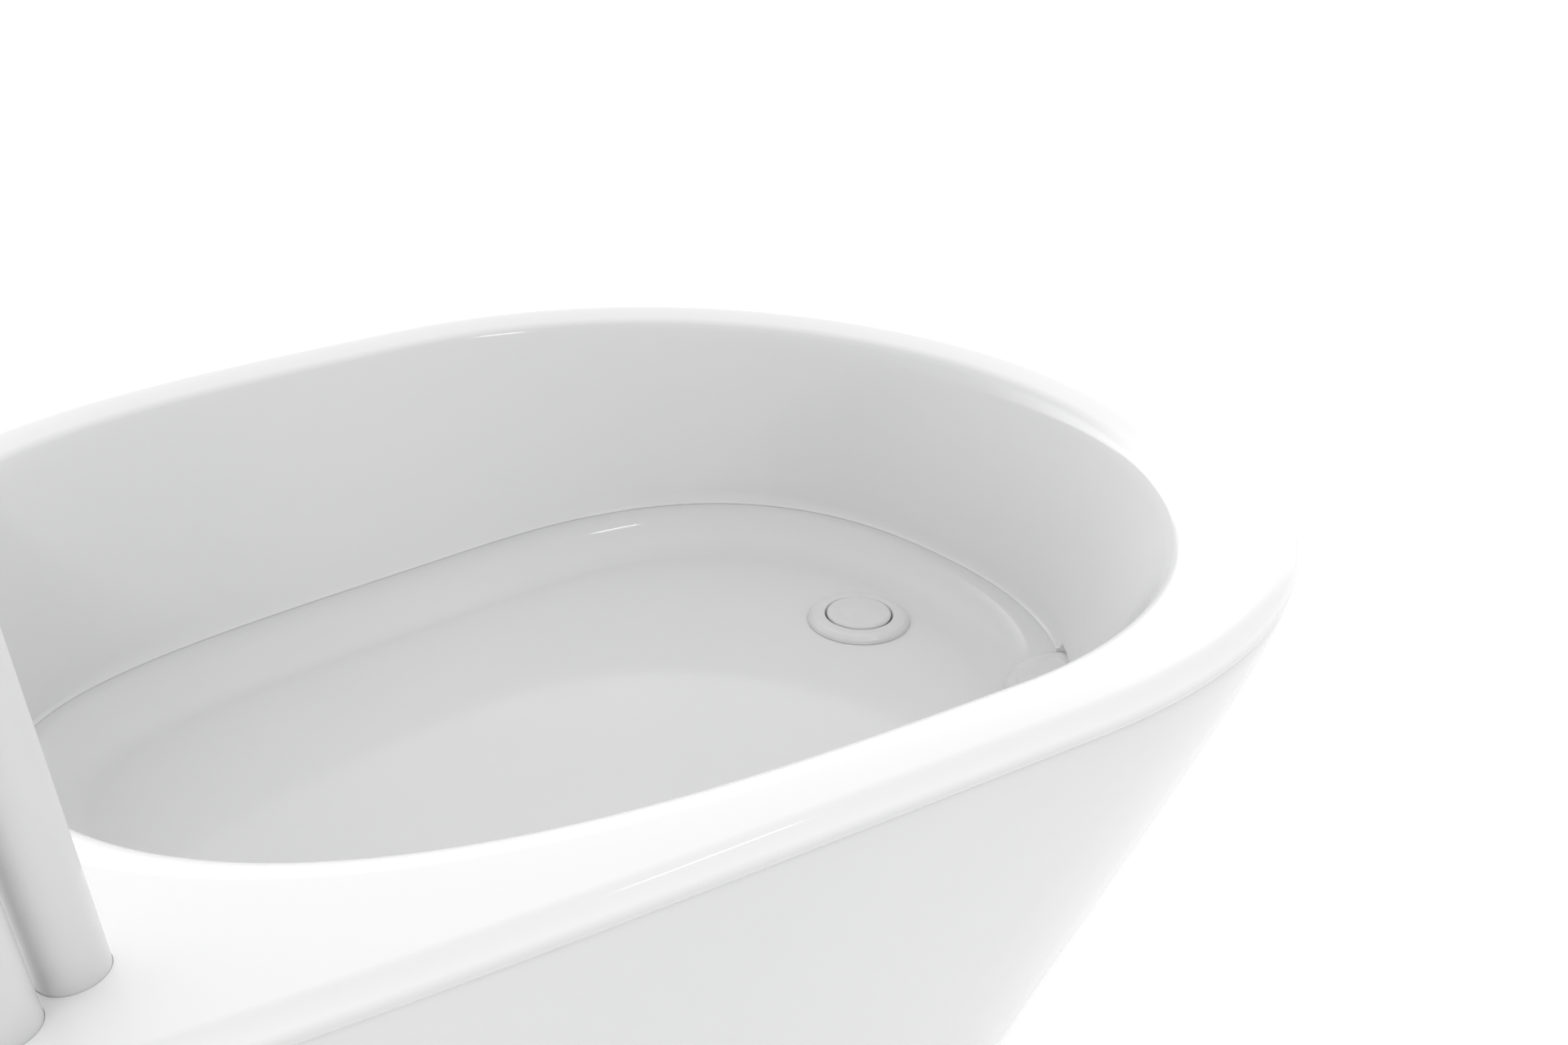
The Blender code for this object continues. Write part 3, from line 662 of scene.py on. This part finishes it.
def make_carriage():
    half = CARRIAGE_HEIGHT / 2
    low, high = CARRIAGE_Z - half, CARRIAGE_Z + half
    carriage = stadium_block("carriage_look", CARRIAGE_RADIUS, low, high, 0.0022)
    middle = plan(*((POST_A + POST_B) / 2), CARRIAGE_Z)
    eye = middle + SQUARE * (CARRIAGE_RADIUS + LUG_REACH)
    lug = []
    for offset, shrink in ((-0.0018, 0.0006), (-0.0012, 0), (0.0012, 0), (0.0018, 0.0006)):
        ring = []
        reach = LUG_REACH - shrink
        for step in range(25):
            angle = math.pi * (step / 24 - 0.5)
            side = SQUARE * reach * math.cos(angle)
            ring.append(eye + ALONG * offset + side + UP * reach * math.sin(angle))
        root = eye + ALONG * offset - SQUARE * 2 * LUG_REACH
        ring += [root + UP * reach * side for side in (1, -1)]
        lug.append(ring)
    boolean(carriage, [skin("tool", lug)], "UNION")
    screw_start = plan(*POST_B, CARRIAGE_Z) + ALONG * (POST_RADIUS + 2 * GAP)
    tools = [rod(plan(*post, CARRIAGE_Z), POST_HOLE, 0.08, UP, 96) for post in (POST_A, POST_B)]
    tools.append(rod(screw_start + ALONG * 0.009, KNOB_SCREW + 2 * GAP, 0.027, ALONG, 48))
    tools.append(rod(eye, RING_WIRE + 0.0016, 0.02, ALONG, 48))
    reshade(boolean(carriage, tools))
    file_piece(carriage, "white_powder_coat", "carriage", "tether_carriage")

    shank, length = 0.0090, 0.0150
    top = shank + length
    profile = [(0, top - 0.0012), (0.0062, top - 0.0012), (0.0072, top)]
    profile += [(KNOB_RADIUS - 0.0022, top), (KNOB_RADIUS, top - 0.0022)]
    profile += [(KNOB_RADIUS, shank + 0.0022), (KNOB_RADIUS - 0.004, shank)]
    profile += [(0.0052, shank), (0.0052, shank - 0.0012), (KNOB_SCREW, shank - 0.0014)]
    profile += threaded(KNOB_SCREW, shank - 0.002, 0.0009, 0.0010, 0.0004) + [(0.0018, 0), (0, 0)]

    def fluted(radius, height, angle):
        if radius < KNOB_RADIUS - 0.0045 or height < shank:
            return radius
        dip = max(0.0, math.cos(6 * angle)) ** 3
        return radius - 0.0014 * dip

    knob = turned("clamp_knob_look", screw_start, profile, ALONG, 144, 0.0006, fluted)
    file_piece(knob, "knob_plastic", "knob", "clamp_knob")

    rings = []
    for step in range(96):
        angle = 2 * math.pi * step / 96
        outward = ALONG * math.sin(angle) + UP * math.cos(angle)
        centre = eye - UP * RING_RADIUS + outward * RING_RADIUS
        ring = []
        for turn in arc(0, 337.5, 15):
            ring.append(centre + (outward * math.cos(turn) + SQUARE * math.sin(turn)) * RING_WIRE)
        rings.append(ring)
    file_piece(skin("tether_ring_look", rings, loop=True), "stainless_steel", "ring", "tether_ring")


def make_waste():
    """Flange, seals, nut, strainer, plug and the bottle trap below them."""
    centre = plan(DRAIN_X, 0, 0)
    seat = FLOOR_Z + GAP
    seal_top = seat + 0.0012
    base = seal_top + GAP
    top = base + 0.0032
    under = UNDER_FLOOR_Z - GAP
    bore = TAIL_RADIUS + 2 * GAP
    seal = ring_profile(FLANGE_RADIUS - 0.002, bore, seat, seal_top)
    file_piece(turned("drain_seal_upper_look", centre, seal), "black_rubber")
    flange = [(FLANGE_RADIUS - 0.0060, top), (FLANGE_RADIUS - 0.0030, top - 0.0008)]
    flange += [(FLANGE_RADIUS - 0.0008, top - 0.0026), (FLANGE_RADIUS, seat - 0.0001)]
    flange += [(FLANGE_RADIUS - 0.0012, seat - 0.0001), (FLANGE_RADIUS - 0.0014, base)]
    flange.append((TAIL_RADIUS, base))
    flange += [(TAIL_RADIUS, 0.3235)] + threaded(TAIL_RADIUS, 0.3230, 0.2950, 0.0020, 0.0008)
    flange += [(TAIL_RADIUS - 0.001, TAIL_BOTTOM_Z), (TAIL_BORE, TAIL_BOTTOM_Z)]
    flange.append((TAIL_BORE, base - 0.004))
    flange += [(PLUG_RADIUS + 0.0006, top - 0.0026), (PLUG_RADIUS + 0.0016, top)]
    file_piece(turned("drain_flange_look", centre, flange, steps=128), "drain_plastic")
    lower = ring_profile(0.031, bore, under - 0.003, under)
    file_piece(turned("drain_seal_lower_look", centre, lower, edge=0.0008), "black_rubber")
    nut_z = under - 0.003 - GAP - 0.006
    nut = hex_nut("drain_nut_look", centre + UP * nut_z, 0.0335, bore, 0.012)
    file_piece(nut, "drain_plastic")

    z = base - 0.0072
    plate = ring_profile(TAIL_BORE - GAP, STEM_RADIUS + 2 * GAP, z - 0.0025, z)
    strainer = turned("drain_strainer_look", centre, plate, edge=0.0005)
    tools = []
    for step in range(6):
        angle = 2 * math.pi * step / 6
        spot = centre + Vector((0.0112 * math.cos(angle), 0.0112 * math.sin(angle), z))
        tools.append(rod(spot, 0.0042, 0.01, UP, 40))
    file_piece(reshade(boolean(strainer, tools)), "stainless_steel")

    crown, skirt = top + 0.0012, top - 0.0022
    plug = [(0, crown + 0.0006)]
    for share in (0.25, 0.5, 0.75):
        plug.append(((PLUG_RADIUS - 0.001) * share, crown + 0.0006 * (1 - share * share)))
    plug += [(PLUG_RADIUS - 0.0012, crown), (PLUG_RADIUS, crown - 0.0012)]
    plug.append((PLUG_RADIUS, skirt + 0.0006))
    plug += [(TAIL_BORE - 0.0020, skirt), (0.0080, skirt), (STEM_RADIUS, skirt - 0.003)]
    plug += [(STEM_RADIUS, skirt - 0.0235), (STEM_RADIUS - 0.001, skirt - 0.0245)]
    plug.append((STEM_RADIUS, skirt - 0.0255))
    plug += [(STEM_RADIUS - 0.001, skirt - 0.026), (0, skirt - 0.026)]
    piece = turned("drain_plug_look", centre, plug, steps=128)
    file_piece(piece, "drain_plastic", "plug", "drain_plug")
    make_trap(centre, bore)


def make_trap(centre, bore):
    def ribbed(radius, height, angle):
        if radius < 0.0322:
            return radius
        return radius - 0.0012 * (0.5 + 0.5 * math.cos(24 * angle)) ** 2

    head = [(0.0300, 0.3035), (0.0325, 0.3005), (0.0325, 0.2890), (0.0315, 0.2880)]
    head += [(0.0315, 0.2640), (0.0325, 0.2620), (0.0280, 0.262)]
    head += [(0.0285, TAIL_BOTTOM_Z - GAP), (bore, TAIL_BOTTOM_Z - GAP)]
    head.append((bore, 0.3035))
    head_piece = turned("trap_head_look", centre, head, UP, 192, 0.0006, ribbed)
    outlet = centre + Vector((-0.0325 - 2 * GAP, 0, 0.272))
    left = Vector((-1, 0, 0))
    boolean(head_piece, [rod(outlet, 0.0082, 0.02, left, 64)])
    file_piece(reshade(head_piece), "trap_plastic")
    cup = [(0.0325, 0.2617), (0.0325, 0.2500), (0.0312, 0.2488), (0.0312, 0.2010), (0.0290, 0.1935)]
    cup += [(0.0240, 0.188), (0.0100, 0.188), (0.0080, 0.1888), (0, 0.1888)]
    cup += [(0, 0.1915), (0.0225, 0.1915)]
    cup += [(0.0290, 0.2015), (0.0290, 0.2617)]
    file_piece(turned("trap_cup_look", centre, cup, UP, 192, 0.0008, ribbed), "trap_plastic")
    pipe = [(0.0078, 0.070), (0.0092, 0.070), (0.0098, 0.0685)]
    for barb in range(4):
        z = 0.064 - barb * 0.006
        pipe += [(0.0098, z), (0.0090, z - 0.0002), (0.0090, z - 0.0018), (0.0098, z - 0.0050)]
    pipe += [(0.0098, 0.0), (0.0078, 0.0)]
    file_piece(turned("trap_outlet_look", outlet, pipe, left, 96, 0.0003), "trap_plastic")


def make_cap():
    seat = plan(*CAP_PLACE, DECK_Z - CAP_DROP)
    top = GAP + 0.0030
    end = -CAP_BOSS - 0.0075
    cap = [(0, top - 0.0005), (0.0130, top - 0.0004), (0.0142, top), (CAP_RADIUS - 0.003, top)]
    cap += [(CAP_RADIUS, top - 0.0014), (CAP_RADIUS, GAP), (CAP_SHANK, GAP)]
    cap += [(CAP_SHANK, -CAP_BOSS + 0.002)] + threaded(CAP_SHANK, -CAP_BOSS + 0.0015, end + 0.001)
    cap += [(CAP_SHANK - 0.001, end), (0, end)]
    file_piece(turned("blanking_cap_look", seat, cap, CAP_NORMAL, 128), "drain_plastic")
    spot = seat - CAP_NORMAL * (CAP_BOSS + GAP + 0.0025)
    nut = hex_nut("blanking_nut_look", spot, 0.0190, CAP_SHANK + 2 * GAP, 0.005, CAP_NORMAL)
    file_piece(nut, "trap_plastic")


def make_frame():
    left, right = FRAME_X
    middle = plan((left + right) / 2, 0, 0)
    width, depth = right - left + 0.060, 0.272
    board_z = UNDER_FLOOR_Z - GAP - BOARD_THICK / 2
    rings = []
    for z, shrink in ((-0.0055, 0.0006), (-0.0049, 0), (0.0049, 0), (0.0055, 0.0006)):
        ring = []
        for point in rounded_square(2.0, 0.02, Matrix.Identity(4), 0):
            side_x = math.copysign(width / 2 - 0.012, point.x)
            side_y = math.copysign(depth / 2 - 0.012, point.y)
            corner_x, corner_y = math.copysign(0.98, point.x), math.copysign(0.98, point.y)
            turn = Vector((point.x - corner_x, point.y - corner_y, 0)) / 0.02
            reach = 0.012 - shrink
            spot = (side_x + turn.x * reach, side_y + turn.y * reach, board_z + z)
            ring.append(middle + Vector(spot))
        rings.append(ring)
    file_piece(skin("baseboard_look", rings), "baseboard_wood")
    for name, side in (("rail_near", -1), ("rail_far", 1)):
        spot = middle + Vector((0, side * FRAME_Y, RAIL_Z))
        rail = square_tube(name + "_look", spot, right - left + 0.035, (1, 0, 0))
        file_piece(rail, "frame_paint")
    cross = 2 * FRAME_Y - TUBE_SIDE - 2 * GAP
    for name, x in (("cross_bar_deck", left), ("cross_bar_round", right - 0.030)):
        file_piece(square_tube(name + "_look", plan(x, 0, RAIL_Z), cross, (0, 1, 0)), "frame_paint")
    leg_top = RAIL_Z - TUBE_SIDE / 2 - GAP
    number = 0
    for x in FRAME_X:
        for side in (-1, 1):
            number += 1
            spot = plan(x, side * FRAME_Y, 0)
            middle_of_leg = spot + UP * (leg_top + LEG_BOTTOM_Z) / 2
            length = leg_top - LEG_BOTTOM_Z
            leg = square_tube(f"leg_{number}_look", middle_of_leg, length, UP)
            file_piece(leg, "frame_paint")
            make_foot(number, spot)


def make_foot(number, spot):
    bore = STUD_RADIUS + 2 * GAP
    insert = ring_profile(0.0100, bore, LEG_BOTTOM_Z + 0.001, LEG_BOTTOM_Z + 0.023)
    file_piece(turned(f"leg_insert_{number}_look", spot, insert, steps=48), "trap_plastic")
    nut_spot = spot + UP * (LEG_BOTTOM_Z - GAP - 0.003)
    nut = hex_nut(f"lock_nut_{number}_look", nut_spot, 0.0098, bore, 0.006)
    file_piece(nut, "stainless_steel")
    stud = [(0, 0.074), (STUD_RADIUS - 0.001, 0.074)] + threaded(STUD_RADIUS, 0.0728, 0.0250)
    stud += [(STUD_RADIUS - 0.0006, 0.0238), (0.0078, 0.0225), (0.0085, 0.0219)]
    stud += [(0.0085, 0.0181), (0.0078, 0.0175), (0.0040, 0.0170), (0.0040, 0.0130)]
    stud += [(0.0058, 0.0115), (0.0058, 0.0075), (0.0040, 0.0064), (0, 0.0064)]
    rule = hexagonal(0.0085, 0.0085)

    def keyed(radius, height, angle):
        return rule(radius, height, angle) if 0.0170 < height < 0.0236 else radius

    look = turned(f"foot_stud_{number}_look", spot, stud, UP, 72, 0.0001, keyed)
    file_piece(look, "stainless_steel", f"foot_{number}")
    pad = [(0.0110, 0.0160), (0.0140, 0.0130), (0.0220, 0.0090), (0.0220, 0.0015), (0.0205, 0)]
    pad += [(0, 0), (0, 0.0060), (0.0064, 0.0060), (0.0064, 0.0160)]

    def grooved(radius, height, angle):
        if radius < 0.0212:
            return radius
        return radius - 0.0005 * (0.5 + 0.5 * math.cos(30 * angle))

    piece = turned(f"foot_pad_{number}_look", spot, pad, UP, 180, 0.0012, grooved)
    file_piece(piece, "black_rubber")


make_basin()
make_skirt()
make_rack()
make_waste()
make_cap()
make_frame()


# ---------------------------------------------------------------- studio
ROOM_LOW = 0.99
ROOM_HIGH = 0.92
BAND = 2.4
STRIP_PLACE = (0.484, -0.866, 1.952)
STRIP_TARGET = (0.138, 0.251, 0.455)
STRIP_SIZE = (0.34, 0.07)
STRIP_POWER = 0.8
CAMERA_PLACE = (-0.2340, -0.5075, 0.7146)
CAMERA_TILT, CAMERA_HEADING, CAMERA_ROLL = 0.5294, 0.6981, -0.024


def make_floor():
    shape = bmesh.new()
    bmesh.ops.create_grid(shape, x_segments=8, y_segments=8, size=60)
    floor = new_piece("studio_floor", shape)
    finish = Finish("studio_floor", grey(0.83), 0.9)
    finish.shader.inputs["Emission Color"].default_value = (1, 1, 1, 1)
    finish.shader.inputs["Emission Strength"].default_value = 0.19
    finish.shader.inputs["Specular IOR Level"].default_value = 0.1
    floor.data.materials.append(finish.material)
    floor.location.z = -0.0005


def make_world():
    """A white room: soft overhead, with a brighter low band behind the tub."""
    world = bpy.data.worlds.new("studio")
    world.use_nodes = True
    bpy.context.scene.world = world
    tree = world.node_tree
    nodes, links = tree.nodes, tree.links
    coords = nodes.new("ShaderNodeTexCoord").outputs["Generated"]

    def facing(direction):
        dot = nodes.new("ShaderNodeVectorMath")
        dot.operation = "DOT_PRODUCT"
        dot.inputs[1].default_value = direction
        links.new(coords, dot.inputs[0])
        return dot.outputs["Value"]

    def ramp(value, low, high, start, end):
        item = nodes.new("ShaderNodeMapRange")
        item.interpolation_type = "SMOOTHSTEP"
        for key, number in zip(RANGE_SOCKETS, (low, high, start, end)):
            item.inputs[key].default_value = number
        links.new(value, item.inputs["Value"])
        return item.outputs["Result"]

    def combine(operation, first, second):
        item = nodes.new("ShaderNodeMath")
        item.operation = operation
        links.new(first, item.inputs[0])
        links.new(second, item.inputs[1])
        return item.outputs["Value"]

    height = facing((0, 0, 1))
    room = ramp(height, 0.05, 0.80, ROOM_LOW, ROOM_HIGH)
    band = ramp(height, 0.22, 0.60, BAND, 0.0)
    far_side = ramp(facing((0.35, 0.94, 0)), 0.25, 0.85, 0.0, 1.0)
    back = nodes["Background"]
    back.inputs["Color"].default_value = (1, 1, 1, 1)
    links.new(combine("ADD", room, combine("MULTIPLY", band, far_side)), back.inputs["Strength"])


def area_light(name, place, target, size, power):
    lamp = bpy.data.lights.new(name, "AREA")
    lamp.shape = "RECTANGLE"
    lamp.size, lamp.size_y = size
    lamp.energy = power
    item = bpy.data.objects.new(name, lamp)
    item.location = place
    item.rotation_euler = (Vector(target) - Vector(place)).to_track_quat("-Z", "Y").to_euler()
    bpy.context.scene.collection.objects.link(item)


def make_camera():
    tilt, heading, roll = CAMERA_TILT, CAMERA_HEADING, CAMERA_ROLL
    level = Vector((math.sin(heading), math.cos(heading), 0))
    forward = level * math.cos(tilt) - UP * math.sin(tilt)
    right = Vector((math.cos(heading), -math.sin(heading), 0))
    above = right.cross(forward)
    side = right * math.cos(roll) - above * math.sin(roll)
    top = right * math.sin(roll) + above * math.cos(roll)
    lens = bpy.data.cameras.new("camera")
    lens.sensor_width = 36
    lens.lens = 28.64
    lens.shift_y = 0.0833
    lens.clip_start = 0.01
    lens.clip_end = 500
    camera = bpy.data.objects.new("camera", lens)
    turn = Matrix((side, top, -forward)).transposed().to_4x4()
    camera.matrix_world = Matrix.Translation(CAMERA_PLACE) @ turn
    bpy.context.scene.collection.objects.link(camera)
    bpy.context.scene.camera = camera


make_floor()
make_world()
area_light("overhead_strip", STRIP_PLACE, STRIP_TARGET, STRIP_SIZE, STRIP_POWER)
make_camera()
bpy.context.scene.view_settings.view_transform = "Standard"
